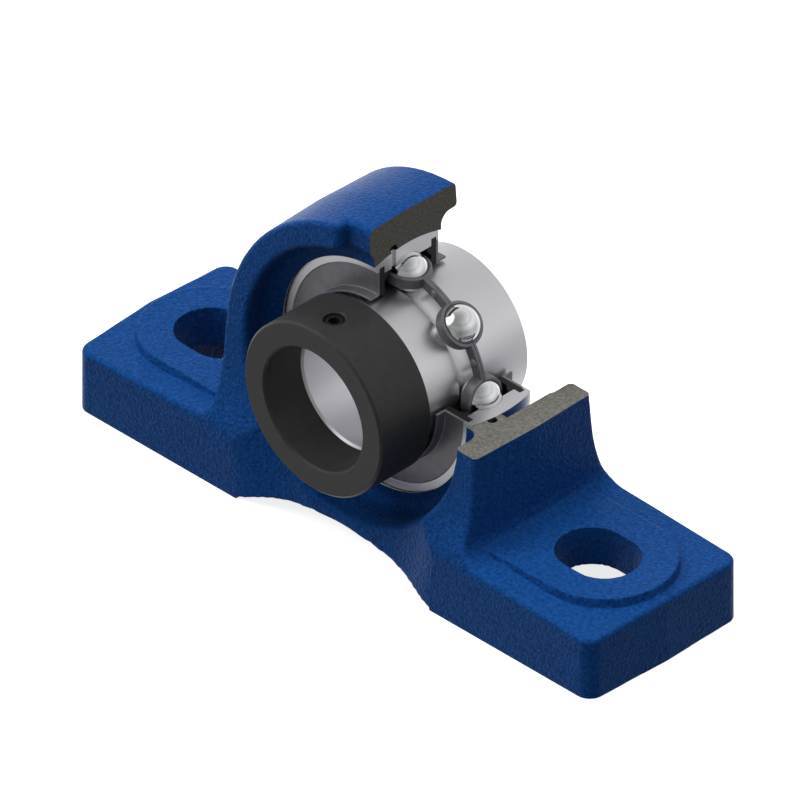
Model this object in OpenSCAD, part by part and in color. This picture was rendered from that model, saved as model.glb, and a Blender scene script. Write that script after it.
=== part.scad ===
// Two-bolt pillow block with an insert ball bearing, quarter cut away.
// X runs along the base, Y along the shaft with the locking collar at -Y, Z is up.
// The origin is under the middle of the shaft, on the plane of the mounting face.

/* [Shaft and housing] */
// Diameter of the shaft bore
shaft_d = 30; // [26:0.5:31]
// Height of the shaft axis above the mounting face
shaft_h = 42.9; // [42.5:0.1:50]
// Thickness of the arch outside the recess
rim_t = 6.9; // [6:0.1:9]
// Slope of the front and back faces, in millimetres per millimetre
face_slope = 0.078; // [0.05:0.001:0.09]
// Draft of the feet, from the middle plane to the faces
draft = 0.8; // [0.2:0.1:1.2]

/* [Base] */
// Length of the base
base_l = 165; // [158:0.5:180]
// Width of the base
base_w = 48; // [46.6:0.1:54]
// Height of a foot's long edges beside the side wall
foot_h = 17.3; // [15:0.1:19]
// Fall of the foot's top towards its end, in millimetres per millimetre
foot_fall = 0.034; // [0.01:0.002:0.05]
// Distance of each foot's inner end from the middle
foot_inner = 30.4; // [28.5:0.1:34]
// How far the feet stand out past the faces of the middle
foot_step = 2.3; // [1:0.1:3]
// Radius of the base's vertical corners
corner_r = 3.6; // [2:0.1:7]
// Radius along the top edges of the feet
edge_r = 1.4; // [0.6:0.1:3]
// Radius of the arch under the base
belly_r = 76; // [70:1:95]
// Thickness of the housing between that arch and the recess
belly_wall = 2.6; // [2:0.1:6]
// Radius between the side walls and the feet
wall_fillet = 5; // [3:0.5:9]
// Height of the hollow cored out under each foot
core_h = 8.5; // [6:0.1:9.5]
// Thickness of the foot's sides beside that hollow
core_side = 6.5; // [4:0.1:7.5]
// Thickness of the foot's outer end past that hollow
core_end = 10.5; // [8:0.1:11]
// Distance from the foot's inner end to that hollow
core_inner = 6.6; // [4:0.1:9]
// Radius of that hollow's corners
core_r = 4; // [1:0.1:6]

/* [Bolt slots] */
// Distance between the two bolt slots
bolt_spacing = 121; // [118:0.5:126]
// Width of a slot
slot_w = 17; // [12:0.5:18]
// End to end length of a slot
slot_l = 21; // [19:0.5:24]
// Width of the raised land round a slot
pad_land = 8.1; // [5:0.1:9]
// Height of the land above the foot's long edges
pad_h = 1.5; // [1.2:0.1:3]

/* [Seat] */
// How far the seat reaches past the outer ring's faces
seat_margin = 0.9; // [0.3:0.1:2]
// Width of the recess round the outer ring, in front of and behind the seat
recess_gap = 2.4; // [1.8:0.1:3.5]
// Radius of the cove between seat edge and recess
cove_r = 3; // [2:0.1:3.4]
// Room beside the insert in the slots it is loaded through
loading_gap = 0.05; // [0.02:0.01:0.3]
// Width of the notch in the front rim
notch_w = 14; // [8:0.5:18]
// Depth of that notch below the front face
notch_d = 3.4; // [2:0.1:4]
// Width of the grease groove in the seat
groove_w = 2.3; // [1.5:0.1:3]
// Depth of the grease groove in the seat
groove_d = 2; // [1:0.1:2.5]

/* [Bearing rings] */
// Outside diameter of the spherical outer ring
ring_d = 62; // [61:0.5:63]
// Width of the outer ring
ring_w = 19.4; // [18.8:0.1:21]
// Clearance between the outer ring and its seat
seat_gap = 0.05; // [0.02:0.01:0.1]
// Height of the outer ring's shoulders above the bottom of its raceway
outer_shoulder_h = 1.7; // [1.3:0.1:2]
// Height of the inner ring's shoulders above the bottom of its raceway
inner_shoulder_h = 1.6; // [1.2:0.1:2]
// Reach of the inner ring towards the collar and towards the back
inner_reach = 18.6; // [17.6:0.1:19.5]
// Diameter of the lubrication hole
lube_d = 1.4; // [1:0.1:2.2]
// Distance of the groove and lubrication hole in front of the middle
lube_y = 4.5; // [3.8:0.1:5]

/* [Balls and cage] */
// Number of balls
ball_n = 8; // [7:1:9]
// Diameter of a ball
ball_d = 9.52; // [9:0.01:9.6]
// How far outside the middle of the bearing's section the ball centres run
pitch_shift = 0.2; // [0:0.05:0.4]
// Clearance between a ball and the bottom of either raceway
ball_gap = 0.03; // [0.01:0.01:0.05]
// Thickness of the cage's sheet
cage_t = 0.75; // [0.6:0.05:0.9]
// Width of the cage's ribbon across the pitch circle
cage_w = 2.7; // [2:0.1:2.8]
// Clearance between a ball and its pocket
pocket_gap = 0.08; // [0.04:0.01:0.12]
// Diameter of a cage rivet's shank
rivet_d = 1.2; // [1:0.1:1.4]
// Diameter of a cage rivet's heads
rivet_head_d = 2.1; // [1.8:0.1:2.3]

/* [Seals] */
// Thickness of a seal's steel plate
plate_t = 0.6; // [0.4:0.05:0.7]
// Thickness of the rubber behind the plate
lip_t = 1.6; // [1.2:0.1:1.8]
// Clearance between a seal and the inner ring
lip_gap = 0.25; // [0.15:0.05:0.4]
// Height of the lip that the plate turns outwards
flange_h = 2.4; // [1:0.1:3]

/* [Locking collar] */
// Thickness of the collar outside the thick side of its eccentric step
collar_wall = 2.3; // [1.8:0.1:4]
// Length of the collar
collar_l = 16.1; // [15.4:0.1:18]
// Clearance of the collar's bore round the shaft
collar_bore_gap = 0.45; // [0.1:0.05:0.8]
// How far the collar reaches over the end of the inner ring
collar_lap = 4.4; // [3.6:0.1:5]
// Offset of the eccentric step from the shaft axis
eccentric = 0.8; // [0.4:0.1:1]
// Diameter of the set screw's thread
screw_d = 5; // [4:0.5:6]
// Distance across the flats of the set screw's socket
socket_af = 2.5; // [2:0.5:3]

/* [Hidden] */
$fn = 96;

// Room that a cutting shape takes past the surface it cuts
over = 1;
// Large size that reaches past the whole object
far = 200;

// Spherical seat and ring
ring_r = ring_d / 2;
ring_half_w = ring_w / 2;
seat_r = ring_r + seat_gap;
seat_half_w = ring_half_w + seat_margin;
seat_edge_r = sqrt(seat_r * seat_r - seat_half_w * seat_half_w);
recess_r = ring_r + recess_gap;
loading_half_h = ring_half_w + loading_gap;
loading_r = recess_r - 0.4;
loading_past = 1.5;

// Arch round the bearing, and the arch under the base
arch_r = recess_r + rim_t;
belly_h = shaft_h - recess_r - belly_wall;
// Height of the underside beside the inner ends of the feet
belly_low = 0.6;
// Half width of the middle there, and at the height of the shaft
belly_half_w = base_w / 2 - foot_step;
arch_half_w = belly_half_w - face_slope * (shaft_h - belly_low);

// Side walls, which lean out a little towards their fillets
wall_x = arch_r - 0.1;
wall_lean = 0.6;
root_x = wall_x + wall_lean;

// Feet and pads
foot_crown = foot_h + draft;
foot_tilt = atan(foot_fall);
pad_top = foot_h + pad_h;
slot_r = slot_w / 2;
pad_r = slot_r + pad_land;
bolt_x = bolt_spacing / 2;
// Run of a slot's centre line to each side of its middle
slot_run = (slot_l - slot_w) / 2;
// Height at which the sweep from the faces to the feet begins, above a foot's edge
flare_h = 16;
// Half width on which the sweep's plan would close, in line with the shaft
flare_root = base_w / 2 - 7.4;

// Raceways are a little wider than the balls, as in any ball bearing
ball_r = ball_d / 2;
race_r = 0.52 * ball_d;
pitch_r = (ring_r + shaft_d / 2) / 2 + pitch_shift;
outer_race_bottom = pitch_r + ball_r + ball_gap;
inner_race_bottom = pitch_r - ball_r - ball_gap;
outer_shoulder_r = outer_race_bottom - outer_shoulder_h;
inner_ring_r = inner_race_bottom + inner_shoulder_h;
ball_step = 360 / ball_n;
inner_chamfer = 0.5;

// Seals sit in a step and a groove at each end of the outer ring
seal_step_r = outer_shoulder_r + 0.95;
seal_groove_r = outer_shoulder_r + 1.9;
plate_out = ring_half_w - 0.1;
plate_in = plate_out - plate_t;
lip_in = plate_in - lip_t;
seal_inner_r = inner_ring_r + lip_gap;
seal_fit = 0.02;

// Cage
pocket_r = ball_r + pocket_gap;
cage_out_r = pocket_r + cage_t;
cage_mid_r = pitch_r + 0.2;
// The rubber's wedge stops short of the cage
wedge_in = cage_out_r + 0.6;
rivet_head_h = 0.45;
rivet_fit = 0.01;

// Locking collar
collar_back = -inner_reach + collar_lap;
collar_front = collar_back - collar_l;
// Radius of the inner ring's eccentric end, with the collar's counterbore close round it
eccentric_r = inner_ring_r - eccentric - 0.5;
eccentric_fit = 0.05;
collar_r = eccentric_r + eccentric_fit + eccentric + collar_wall;
screw_y = (collar_front - inner_reach) / 2 + 1;
screw_r = screw_d / 2;
thread_fit = 0.05;
screw_sunk = 0.7;
screw_l = collar_r - shaft_d / 2 - collar_bore_gap - screw_sunk - 0.2;
socket_depth = 2.4;

// Colours as the picture shows them
blue = [0.09, 0.28, 0.58];
steel = [0.68, 0.68, 0.70];
chrome = [0.86, 0.87, 0.88];
dark_steel = [0.36, 0.36, 0.38];
black = [0.14, 0.14, 0.15];
rubber = [0.07, 0.07, 0.07];

// Unit vector from one point of an outline to another
function towards(a, b) = (b - a) / norm(b - a);

// Points of the round that replaces corner b between a and c, in steps of about 15 degrees
function round_corner(a, b, c, r) =
    let (
        u = towards(b, a),
        v = towards(b, c),
        half = acos(u * v) / 2,
        centre = b + towards([0, 0], u + v) * r / sin(half),
        first = b + u * r / tan(half) - centre,
        turn = 180 - 2 * half,
        side = sign(cross(b - a, c - b)),
        steps = max(2, ceil(turn / 15)))
    [for (i = [0:steps])
        let (angle = side * turn * i / steps)
        centre + [first.x * cos(angle) - first.y * sin(angle),
                  first.x * sin(angle) + first.y * cos(angle)]];

// Outline with its corners rounded; each corner is [x, y, radius], and radius 0 keeps it sharp
function rounded(corners) =
    let (n = len(corners), at = [for (k = corners) [k.x, k.y]])
    [for (i = [0:n - 1])
        each corners[i].z > 0
            ? round_corner(at[(i + n - 1) % n], at[i], at[(i + 1) % n], corners[i].z)
            : [at[i]]];

// Turns a shape made about the Z axis onto the shaft, so that its Z becomes +Y
module on_shaft() {
    translate([0, 0, shaft_h]) rotate([-90, 0, 0]) children();
}

// Extrudes a front view (X, Z) along Y, to both sides of the middle plane
module along_y(depth) {
    rotate([90, 0, 0]) linear_extrude(depth, center = true) children();
}

// Extrudes a side view (Y, Z) along X between two stations
module along_x(from, to) {
    translate([from, 0, 0]) rotate([90, 0, 90]) linear_extrude(to - from) children();
}

// Both ends of the base
module both_feet() {
    for (side = [0, 1]) mirror([side, 0, 0]) children();
}

// The quarter that the picture shows taken away
module quarter() {
    translate([0, -far / 2, shaft_h]) cube([far, far, far]);
}

// Plan of a foot, with its end crowned by the draft
module foot_plan() {
    end = base_l / 2;
    side = base_w / 2;
    polygon(rounded([
        [foot_inner, -side, 1], [end - draft, -side, corner_r], [end, 0, 0],
        [end - draft, side, corner_r], [foot_inner, side, 1]]));
}

// Side view of a foot: crowned top, rounded along its long edges
module foot_section() {
    side = base_w / 2;
    polygon(rounded([
        [-side, -over, 0], [side, -over, 0], [side, foot_h, edge_r],
        [0, foot_crown, 0], [-side, foot_h, edge_r]]));
}

// Front view of a foot: its top falls towards the rounded end
module foot_front() {
    end = base_l / 2;
    end_h = foot_crown - foot_fall * (end - root_x);
    inner_h = foot_crown + foot_fall * root_x;
    polygon(rounded([[0, 0, 0], [end, 0, 0.6], [end, end_h, edge_r], [0, inner_h, 0]]));
}

module foot() {
    intersection() {
        linear_extrude(foot_crown + over) foot_plan();
        translate([root_x, 0, 0]) rotate([0, foot_tilt, 0]) along_x(-base_l, base_l) foot_section();
        along_y(base_w + over) foot_front();
    }
}

// Front view of the arch and of the side walls that run down into the feet
module arch_front() {
    out_x = root_x + wall_fillet + over;
    root_z = foot_h - 1;
    floor_z = foot_h - edge_r - over;
    translate([0, shaft_h]) circle(r = arch_r);
    polygon(rounded([
        [-wall_x, shaft_h, 0], [-root_x, root_z, wall_fillet], [-out_x, root_z, 0],
        [-out_x, floor_z, 0], [-foot_inner, floor_z, 0], [-foot_inner, belly_low, 0],
        [foot_inner, belly_low, 0], [foot_inner, floor_z, 0], [out_x, floor_z, 0],
        [out_x, root_z, 0], [root_x, root_z, wall_fillet], [wall_x, shaft_h, 0]]));
}

// Side view of the housing: both faces lean together upwards
module housing_section() {
    top = shaft_h + arch_r + over;
    top_half = arch_half_w - face_slope * (top - shaft_h);
    polygon([
        [-belly_half_w, belly_low], [belly_half_w, belly_low],
        [top_half, top], [-top_half, top]]);
}

// The same at the feet, where both faces sweep out to the feet's long edges
module shoulder_section() {
    side = base_w / 2 - 0.4;
    edge_z = foot_h - 0.9;
    knee_z = foot_h + flare_h / 3;
    flare_z = foot_h + flare_h;
    flare_half = arch_half_w + face_slope * (shaft_h - flare_z);
    top = shaft_h + arch_r + over;
    top_half = arch_half_w - face_slope * (top - shaft_h);
    knee = (side + flare_half) / 2;
    polygon([
        [-side, belly_low], [side, belly_low], [side, edge_z], [knee, knee_z],
        [flare_half, flare_z], [top_half, top], [-top_half, top],
        [-flare_half, flare_z], [-knee, knee_z], [-side, edge_z]]);
}

// Plan of that sweep on one side: it opens out from the middle towards a foot's inner end
module shoulder_plan() {
    end = base_l / 2 - corner_r;
    side = base_w / 2 - 0.2;
    polygon([
        [0, -flare_root], [foot_inner, -side], [end, -side],
        [end, side], [foot_inner, side], [0, flare_root]]);
}

module arch() {
    intersection() {
        along_y(base_w) arch_front();
        union() {
            along_x(-root_x, root_x) housing_section();
            both_feet() intersection() {
                along_x(0, base_l / 2) shoulder_section();
                linear_extrude(far) shoulder_plan();
            }
        }
    }
}

// Outline of a bolt pad: round about the slot's end, with straight sides back to the wall
module pad_outline() {
    end_x = bolt_x + slot_run;
    intersection() {
        union() {
            translate([end_x, 0]) circle(r = pad_r);
            translate([root_x, -pad_r]) square([end_x - root_x, 2 * pad_r]);
        }
        foot_plan();
    }
}

module bolt_slot() {
    for (x = [bolt_x - slot_run, bolt_x + slot_run])
        translate([x, 0, -over]) cylinder(r = slot_r, h = far);
    translate([bolt_x - slot_run, -slot_r, -over]) cube([2 * slot_run, slot_w, far]);
}

// The hollow under a foot, which the bolt slot opens into
module core() {
    inner = foot_inner + core_inner;
    end = base_l / 2 - core_end;
    side = base_w / 2 - core_side;
    translate([0, 0, -over]) linear_extrude(core_h + over) polygon(rounded([
        [inner, -side, core_r], [end, -side, core_r], [end, side, core_r], [inner, side, core_r]]));
}

// Everything turned out of the housing about the shaft: seat, recesses and grease groove
module seat_cut() {
    half = arch_half_w + 4;
    on_shaft() rotate_extrude() {
        intersection() {
            circle(r = seat_r);
            translate([0, -seat_half_w]) square([seat_r, 2 * seat_half_w]);
        }
        translate([0, -lube_y - groove_w / 2]) square([seat_r - 0.1 + groove_d, groove_w]);
        for (side = [0, 1]) mirror([0, side]) {
            translate([0, seat_half_w - 0.2]) square([seat_edge_r, half]);
            polygon(rounded([
                [seat_edge_r - over, seat_half_w, 0], [recess_r, seat_half_w, cove_r],
                [recess_r, arch_half_w, 0], [recess_r, half, 0], [seat_edge_r - over, half, 0]]));
        }
    }
}

// Slots at both sides of the back, through which the insert is loaded crosswise
module loading_slots() {
    translate([-loading_r, -loading_past, shaft_h - loading_half_h])
        cube([2 * loading_r, far, 2 * loading_half_h]);
}

module front_notch() {
    top_face = arch_half_w - face_slope * arch_r;
    translate([-notch_w / 2, -far - top_face + notch_d, shaft_h + seat_edge_r])
        cube([notch_w, far, far]);
}

module housing() {
    color(blue) difference() {
        union() {
            both_feet() foot();
            arch();
            both_feet() translate([0, 0, foot_h / 2]) linear_extrude(pad_top - foot_h / 2)
                pad_outline();
        }
        both_feet() translate([0, 0, pad_top]) linear_extrude(wall_fillet) pad_outline();
        both_feet() bolt_slot();
        both_feet() core();
        along_y(far) intersection() {
            translate([0, belly_h - belly_r]) circle(r = belly_r);
            square([2 * foot_inner, 4 * belly_h], center = true);
        }
        seat_cut();
        loading_slots();
        front_notch();
        quarter();
    }
}

// Section of the outer ring, turned about the shaft
module outer_ring_section() {
    difference() {
        intersection() {
            circle(r = ring_r);
            translate([outer_shoulder_r, -ring_half_w]) square([ring_r, ring_w]);
        }
        translate([outer_race_bottom - race_r, 0]) circle(r = race_r);
        for (side = [0, 1]) mirror([0, side]) {
            translate([0, plate_in]) square([seal_step_r, ring_w]);
            translate([0, lip_in]) square([seal_groove_r, lip_t]);
        }
    }
}

module outer_ring() {
    color(steel) difference() {
        on_shaft() rotate_extrude() outer_ring_section();
        translate([0, -lube_y, shaft_h]) cylinder(d = lube_d, h = ring_d);
        quarter();
    }
}

module inner_ring() {
    bore_r = shaft_d / 2;
    lap = collar_lap + 0.2;
    color(steel) difference() {
        on_shaft() rotate_extrude() difference() {
            polygon([
                [bore_r, inner_chamfer - inner_reach], [bore_r + inner_chamfer, -inner_reach],
                [inner_ring_r, -inner_reach], [inner_ring_r, inner_reach - inner_chamfer],
                [inner_ring_r - inner_chamfer, inner_reach],
                [bore_r + inner_chamfer, inner_reach], [bore_r, inner_reach - inner_chamfer]]);
            translate([inner_race_bottom + race_r, 0]) circle(r = race_r);
        }
        on_shaft() translate([0, 0, -inner_reach - over]) difference() {
            cylinder(r = inner_ring_r + over, h = lap + over);
            translate([0, -eccentric, -over]) cylinder(r = eccentric_r, h = lap + 3 * over);
        }
    }
}

module ball(i) {
    color(chrome) translate([0, 0, shaft_h]) rotate([0, -ball_step * (i - 1), 0])
        translate([pitch_r, 0, 0]) sphere(r = ball_r);
}

// Places a copy at every ball, or midway between balls
module round_pitch(start) {
    for (i = [0:ball_n - 1]) rotate([0, 0, start + i * ball_step]) translate([pitch_r, 0, 0])
        children();
}

// The half of the cage that lies towards +Z before it is turned onto the shaft
module cage_half() {
    difference() {
        intersection() {
            union() {
                cylinder(r = cage_mid_r + cage_w, h = cage_t);
                round_pitch(0) sphere(r = cage_out_r);
            }
            difference() {
                cylinder(r = cage_mid_r + cage_w / 2, h = ball_d);
                translate([0, 0, -over])
                    cylinder(r = cage_mid_r - cage_w / 2, h = ball_d + 2 * over);
            }
        }
        round_pitch(0) sphere(r = pocket_r);
        round_pitch(ball_step / 2) translate([0, 0, -over])
            cylinder(d = rivet_d + 2 * rivet_fit, h = cage_t + 2 * over);
    }
}

module cage_front() {
    color(dark_steel) on_shaft() mirror([0, 0, 1]) cage_half();
}

module cage_back() {
    color(dark_steel) on_shaft() cage_half();
}

// Rivets that hold both halves together, each with a low domed head at either end
module cage_rivets() {
    color(dark_steel) on_shaft() round_pitch(ball_step / 2) rotate_extrude() {
        translate([0, -cage_t]) square([rivet_d / 2, 2 * cage_t]);
        for (side = [0, 1]) mirror([0, side]) polygon([
            [0, cage_t], [rivet_head_d / 2, cage_t], [rivet_head_d / 2 - 0.1, cage_t + 0.2],
            [rivet_head_d / 2 - 0.4, cage_t + rivet_head_h], [0, cage_t + rivet_head_h]]);
    }
}

// Pressed steel plate of a seal, on the +Z side, with its inner edge turned outwards
module seal_plate() {
    outer = seal_step_r - seal_fit;
    inner = seal_inner_r + 0.5;
    difference() {
        on_shaft() rotate_extrude() {
            translate([inner, plate_in]) square([outer - inner, plate_t]);
            translate([inner, plate_in]) square([plate_t, plate_t + flange_h]);
        }
        quarter();
    }
}

// Rubber of a seal: a bead in the ring's groove, a web behind the plate and a wedge inside
module seal_lip() {
    bead = seal_groove_r - seal_fit;
    wedge_outer = outer_shoulder_r - 0.1;
    difference() {
        on_shaft() rotate_extrude() polygon([
            [seal_inner_r, lip_in + 0.4], [seal_inner_r + 0.5, plate_in - seal_fit],
            [bead, plate_in - seal_fit], [bead, lip_in + seal_fit],
            [wedge_outer, lip_in + seal_fit], [wedge_outer, wedge_in],
            [wedge_outer - 0.8, wedge_in], [wedge_outer - 2.4, lip_in + seal_fit],
            [seal_inner_r + 0.7, lip_in + seal_fit]]);
        quarter();
    }
}

// A seal made for the back, turned about the middle plane for the front
module at_front() {
    mirror([0, 1, 0]) children();
}

module front_seal_plate() { color(dark_steel) at_front() seal_plate(); }
module back_seal_plate() { color(dark_steel) seal_plate(); }
module front_seal_lip() { color(rubber) at_front() seal_lip(); }
module back_seal_lip() { color(rubber) seal_lip(); }

module collar() {
    bore_r = shaft_d / 2 + collar_bore_gap;
    edge = 0.5;
    color(black) difference() {
        on_shaft() rotate_extrude() polygon([
            [bore_r, collar_front + edge], [bore_r + edge, collar_front],
            [collar_r - edge, collar_front], [collar_r, collar_front + edge],
            [collar_r, collar_back - edge], [collar_r - edge, collar_back],
            [bore_r, collar_back]]);
        on_shaft() translate([0, -eccentric, -inner_reach - 0.1])
            cylinder(r = eccentric_r + eccentric_fit, h = far);
        translate([0, screw_y, shaft_h]) cylinder(r = screw_r + thread_fit, h = far);
    }
}

// Socket set screw, sunk a little below the collar's outside, with a cup point
module set_screw() {
    top = shaft_h + collar_r - screw_sunk;
    cup = 0.8;
    color(black) translate([0, screw_y, top - screw_l]) difference() {
        rotate_extrude() polygon([
            [0, 0.4], [screw_r - 1.3, 0], [screw_r - 1, 0], [screw_r, cup],
            [screw_r, screw_l - 0.4], [screw_r - 0.4, screw_l], [0, screw_l]]);
        translate([0, 0, screw_l - socket_depth])
            cylinder(d = socket_af / cos(30), h = far, $fn = 6);
    }
}

housing();
outer_ring();
inner_ring();
for (i = [1:ball_n])
    ball(i);
cage_front();
cage_back();
cage_rivets();
front_seal_plate();
front_seal_lip();
back_seal_plate();
back_seal_lip();
collar();
set_screw();
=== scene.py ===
"""Looks of the cutaway pillow block bearing, built round its CAD frame.

Sizes are in millimetres, as on a drawing, and become metres when a mesh is made.
X runs along the base, Y along the shaft with the locking collar at -Y, and Z is up.
"""
import math

import bmesh
import bpy
import numpy as np
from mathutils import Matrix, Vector


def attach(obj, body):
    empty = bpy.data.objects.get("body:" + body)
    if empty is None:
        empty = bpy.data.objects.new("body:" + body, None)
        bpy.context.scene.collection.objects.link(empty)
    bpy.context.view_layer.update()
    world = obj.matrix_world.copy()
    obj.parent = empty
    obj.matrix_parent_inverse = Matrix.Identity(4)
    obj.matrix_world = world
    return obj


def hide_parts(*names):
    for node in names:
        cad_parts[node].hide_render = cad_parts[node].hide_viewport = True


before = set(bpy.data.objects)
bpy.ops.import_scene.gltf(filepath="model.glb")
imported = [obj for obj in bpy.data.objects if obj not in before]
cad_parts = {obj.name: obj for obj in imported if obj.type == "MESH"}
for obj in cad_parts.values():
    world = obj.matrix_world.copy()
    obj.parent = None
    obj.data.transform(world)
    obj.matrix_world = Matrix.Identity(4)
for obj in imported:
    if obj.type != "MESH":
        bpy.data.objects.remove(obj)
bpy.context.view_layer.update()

MM = 0.001
WELD = 0.001 * MM

# Angles in degrees past which an edge between two faces stays sharp
TURNED_SHARP = 30
CAST_SHARP = 35
CAGE_SHARP = 40

# Housing: arch, side walls and faces
SHAFT_H = 42.9
ARCH_R = 40.28
ARCH_DRAFT = 0.55
WALL_LEAN = 0.6
WALL_FILLET = 4.5
FACE_HALF = 18.4
FACE_SLOPE = 0.078
FACE_EDGE_R = 1.1
NOTCH_HALF = 7
NOTCH_FACE = 12.06
NOTCH_EDGE_R = 1.4
RIM_R = 1.3

# Sweep of both faces out to the feet, with one radius in side view and in plan
SWEEP_R = 41
SWEEP_FLOOR = -7
SWEEP_END = 54.7
CREASE_R = 0.5

# Base and feet
BASE_HALF_L = 82.45
BASE_HALF_W = 23.98
END_DRAFT = 0.8
CORNER_R = 3.6
FOOT_H = 17.3
FOOT_CROWN = 0.75
FOOT_FALL = 0.034
FOOT_ROOT = 41
FOOT_INNER = 30.4
FOOT_EDGE_R = 1.1
BELLY_R = 76
BELLY_TOP = 6.9
BELLY_EDGE_R = 0.5

# Hollow cored out under each foot
CORE_TOP = 8.45
CORE_FROM = 37
CORE_TO = 71.2
CORE_HALF_W = 17.5
CORE_R = 4

# Bolt pads and slots
SLOT_X = 60.5
SLOT_RUN = 2
SLOT_R = 8.5
SLOT_EDGE_R = 0.5
PAD_R = 16.75
PAD_TOP = 18.78
PAD_RUN = 0.2
PAD_EDGE_R = 0.25
PAD_INNER = 34
PAD_FILLET = 1.6
PAD_SKIRT = 3
PAD_WALL_GAP = 0.3

# Seat and bearing
SEAT_R = 31.05
SEAT_HALF = 10.6
SEAT_EDGE_R = math.sqrt(SEAT_R ** 2 - SEAT_HALF ** 2)
RECESS_R = 33.4
COVE_R = 3
GROOVE_Y = 4.5
GROOVE_HALF = 1.15
GROOVE_R = 32.5
LOADING_R = 33
LOADING_HALF = 9.75
LOADING_FROM = -1.5
RING_R = 31
RING_HALF = 9.7
PITCH_R = 23.2
RACE_R = 4.95
BALL_R = 4.76
BALL_GAP = 0.03
BALLS = 8


# Outlines and meshes
def rounded(corners, step=12.0):
    """Closed outline with its corners rounded: each corner is (x, y, radius).

    No edge of a round turns by more than step degrees.
    """
    points = []
    for i, (x, y, r) in enumerate(corners):
        here = np.array((x, y), float)
        if r <= 0:
            points.append(here)
            continue
        before = np.array(corners[i - 1][:2], float) - here
        after = np.array(corners[(i + 1) % len(corners)][:2], float) - here
        u, v = before / np.linalg.norm(before), after / np.linalg.norm(after)
        half = math.acos(np.clip(u @ v, -1, 1)) / 2
        middle = (u + v) / np.linalg.norm(u + v)
        centre = here + middle * r / math.sin(half)
        first = here + u * r / math.tan(half) - centre
        turn = math.pi - 2 * half
        side = math.copysign(1, u[1] * v[0] - u[0] * v[1])
        steps = max(2, math.ceil(math.degrees(turn) / step))
        for k in range(steps + 1):
            a = side * turn * k / steps
            c, s = math.cos(a), math.sin(a)
            points.append(centre + (first[0] * c - first[1] * s, first[0] * s + first[1] * c))
    return points


def arc(centre_r, radius, start, end, step=5.0):
    """Corners (r, y, 0) on an arc of the turned section, centred on the middle plane."""
    steps = max(2, math.ceil(abs(end - start) / step))
    return [(centre_r + radius * math.cos(math.radians(a)), radius * math.sin(math.radians(a)), 0)
            for a in np.linspace(start, end, steps + 1)]


def smooth(piece, sharp):
    """Smooths a piece, apart from edges that turn by more than sharp degrees."""
    piece.data.shade_smooth()
    piece.data.set_sharp_from_angle(angle=math.radians(sharp))


def face_outwards(mesh):
    """Welds a mesh and turns its faces outwards."""
    work = bmesh.new()
    work.from_mesh(mesh)
    bmesh.ops.remove_doubles(work, verts=work.verts, dist=WELD)
    bmesh.ops.recalc_face_normals(work, faces=work.faces)
    work.to_mesh(mesh)
    work.free()


def mesh_piece(name, points, faces, sharp=TURNED_SHARP):
    """A new object at the origin from points in millimetres, smooth apart from its sharp edges."""
    mesh = bpy.data.meshes.new(name)
    mesh.from_pydata([tuple(p) for p in np.asarray(points, float) * MM], [], faces)
    face_outwards(mesh)
    piece = bpy.data.objects.new(name, mesh)
    bpy.context.scene.collection.objects.link(piece)
    smooth(piece, sharp)
    return piece


def turned(name, section, start=0.0, sweep=360.0, steps=240):
    """Turns a closed section of (r, y) points round the shaft.

    A point's fourth number, where it has one, lifts that point's circle: an eccentric step.
    Angle 0 points to +X and 90 straight up. A part turn is closed with a face at each end.
    """
    whole = sweep >= 360
    count = max(3, round(steps * sweep / 360))
    angles = np.radians(start + sweep * np.arange(count if whole else count + 1) / count)
    n = len(section)
    ring = np.array([(p[0], p[1], p[3] if len(p) > 3 else 0) for p in section], float)
    points = np.empty((len(angles), n, 3))
    points[:, :, 0] = np.cos(angles)[:, None] * ring[:, 0]
    points[:, :, 1] = ring[:, 1]
    points[:, :, 2] = SHAFT_H + ring[:, 2] + np.sin(angles)[:, None] * ring[:, 0]
    faces = []
    for a in range(len(angles) if whole else count):
        b = (a + 1) % len(angles)
        faces += [(a * n + i, a * n + (i + 1) % n, b * n + (i + 1) % n, b * n + i)
                  for i in range(n)]
    if not whole:
        faces += [tuple(range(n)), tuple(count * n + i for i in reversed(range(n)))]
    return mesh_piece(name, points.reshape(-1, 3), faces)


def bake_modifiers(piece):
    """Applies a piece's modifiers by taking its evaluated mesh."""
    bpy.context.view_layer.update()
    graph = bpy.context.evaluated_depsgraph_get()
    result = bpy.data.meshes.new_from_object(
        piece.evaluated_get(graph), preserve_all_data_layers=True, depsgraph=graph)
    piece.modifiers.clear()
    old = piece.data
    piece.data = result
    result.name = piece.name
    bpy.data.meshes.remove(old)


def settle_normals(piece):
    """Keeps flat faces flat beside their small rounds."""
    weigh = piece.modifiers.new("flat faces", "WEIGHTED_NORMAL")
    weigh.keep_sharp = True
    weigh.weight = 100
    bake_modifiers(piece)


def cut_away(piece, cutter):
    """Takes the cutter's shape out of the piece."""
    cut = piece.modifiers.new("cut", "BOOLEAN")
    cut.operation = "DIFFERENCE"
    cut.solver = "EXACT"
    cut.object = cutter
    bake_modifiers(piece)
    bpy.data.objects.remove(cutter)


def block(name, low, high):
    """A box that serves as a cutter."""
    x, y, z = zip(low, high)
    points = [(a, b, c) for a in x for b in y for c in z]
    faces = [(0, 1, 3, 2), (4, 6, 7, 5), (0, 4, 5, 1), (2, 3, 7, 6), (0, 2, 6, 4), (1, 5, 7, 3)]
    return mesh_piece(name, points, faces)


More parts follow.
